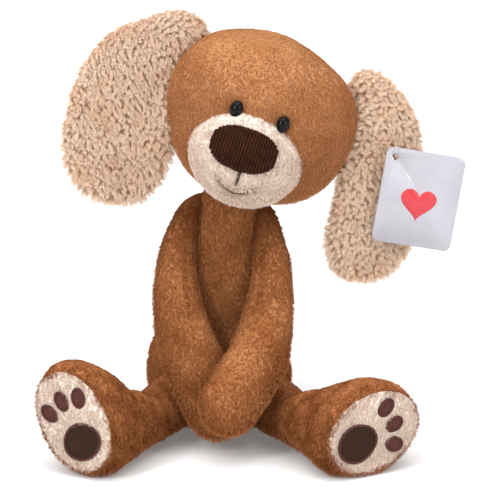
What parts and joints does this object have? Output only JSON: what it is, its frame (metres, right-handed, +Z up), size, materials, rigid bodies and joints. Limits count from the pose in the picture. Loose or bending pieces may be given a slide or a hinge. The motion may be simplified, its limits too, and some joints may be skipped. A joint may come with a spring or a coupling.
{
  "type": "sitting plush dog",
  "caption": "Sitting stuffed toy dog with long floppy ears, a large tilted head, long soft arms and legs with padded soles, and a hanging card on one ear.",
  "frame": {"origin": "on the floor, at the middle of the flat underside of the seat", "axes": "+Z up, the dog faces -Y, its own left is +X"},
  "size_m": [0.3574, 0.2767, 0.3621],
  "materials": {
    "brown_plush": "short pile plush",
    "cream_plush": "short pile plush",
    "sherpa": "long curly pile",
    "corduroy": "ribbed corduroy",
    "pad_fabric": "smooth nap with a satin-stitched border",
    "thread": "embroidery thread",
    "eye_plastic": "polished",
    "clear_plastic": "translucent",
    "card": "satin coated",
    "label_ribbon": "satin ribbon, blank",
    "fibre_filling": "loose polyester fibre",
    "pouch_cloth": "plain cloth pouch of pellets"
  },
  "bodies": {
    "torso": {"torso_skin": "brown_plush", "torso_filling": "fibre_filling", "seat_pellet_pouch": "pouch_cloth", "seam_label": "label_ribbon"},
    "head": {"head_skin": "brown_plush", "head_filling": "fibre_filling", "muzzle_cover": "cream_plush", "muzzle_filling": "fibre_filling", "nose_cover": "corduroy", "nose_filling": "fibre_filling", "philtrum_stitch": "thread", "smile_stitch": "thread", "left_eye": "eye_plastic", "left_eye_washer": "clear_plastic", "right_eye": "eye_plastic", "right_eye_washer": "clear_plastic"},
    "left_ear": {"left_ear_outer": "sherpa", "left_ear_lining": "sherpa", "card_loop": "clear_plastic"},
    "right_ear": {"right_ear_outer": "sherpa", "right_ear_lining": "sherpa"},
    "card": {"hang_card": "card"},
    "left_arm": {"left_arm_skin": "brown_plush", "left_arm_filling": "fibre_filling"},
    "right_arm": {"right_arm_skin": "brown_plush", "right_arm_filling": "fibre_filling"},
    "left_leg": {"left_leg_skin": "brown_plush", "left_leg_filling": "fibre_filling", "left_sole": "cream_plush", "left_heel_pad": "pad_fabric", "left_inner_toe_pad": "pad_fabric", "left_middle_toe_pad": "pad_fabric", "left_outer_toe_pad": "pad_fabric"},
    "right_leg": {"right_leg_skin": "brown_plush", "right_leg_filling": "fibre_filling", "right_sole": "cream_plush", "right_heel_pad": "pad_fabric", "right_inner_toe_pad": "pad_fabric", "right_middle_toe_pad": "pad_fabric", "right_outer_toe_pad": "pad_fabric"},
    "tail": {"tail_skin": "brown_plush", "tail_filling": "fibre_filling"}
  },
  "joints": [
    {"name": "head_turn", "type": "hinge", "parent": "torso", "child": "head", "pos_m": [0.009, -0.003, 0.201], "axis": [0, 0, 1], "range_deg": [-25, 25]},
    {"name": "left_ear_lift", "type": "hinge", "parent": "head", "child": "left_ear", "pos_m": [0.1124, -0.0017, 0.2985], "axis": [0, -1, 0], "range_deg": [0, 60]},
    {"name": "right_ear_lift", "type": "hinge", "parent": "head", "child": "right_ear", "pos_m": [-0.0147, 0.0076, 0.3398], "axis": [0, 1, 0], "range_deg": [0, 60]},
    {"name": "card_swing", "type": "hinge", "parent": "left_ear", "child": "card", "pos_m": [0.147, -0.036, 0.244], "axis": [-1, 0, 0], "range_deg": [0, 75]},
    {"name": "left_arm_swing", "type": "hinge", "parent": "torso", "child": "left_arm", "pos_m": [0.0435, -0.007, 0.189], "axis": [-1, 0, 0], "range_deg": [0, 45]},
    {"name": "right_arm_swing", "type": "hinge", "parent": "torso", "child": "right_arm", "pos_m": [-0.028, -0.007, 0.189], "axis": [-1, 0, 0], "range_deg": [0, 45]},
    {"name": "left_leg_swing", "type": "hinge", "parent": "torso", "child": "left_leg", "pos_m": [0.033, -0.024, 0.0337], "axis": [0, 0, 1], "range_deg": [0, 30]},
    {"name": "right_leg_swing", "type": "hinge", "parent": "torso", "child": "right_leg", "pos_m": [-0.033, -0.024, 0.0337], "axis": [0, 0, -1], "range_deg": [0, 30]},
    {"name": "tail_wag", "type": "hinge", "parent": "torso", "child": "tail", "pos_m": [0, 0.0702, 0.0429], "axis": [0, 0, 1], "range_deg": [-35, 35]}
  ],
  "couplings": [
    {"joint": "right_arm_swing", "follows": "left_arm_swing", "ratio": 1}
  ]
}
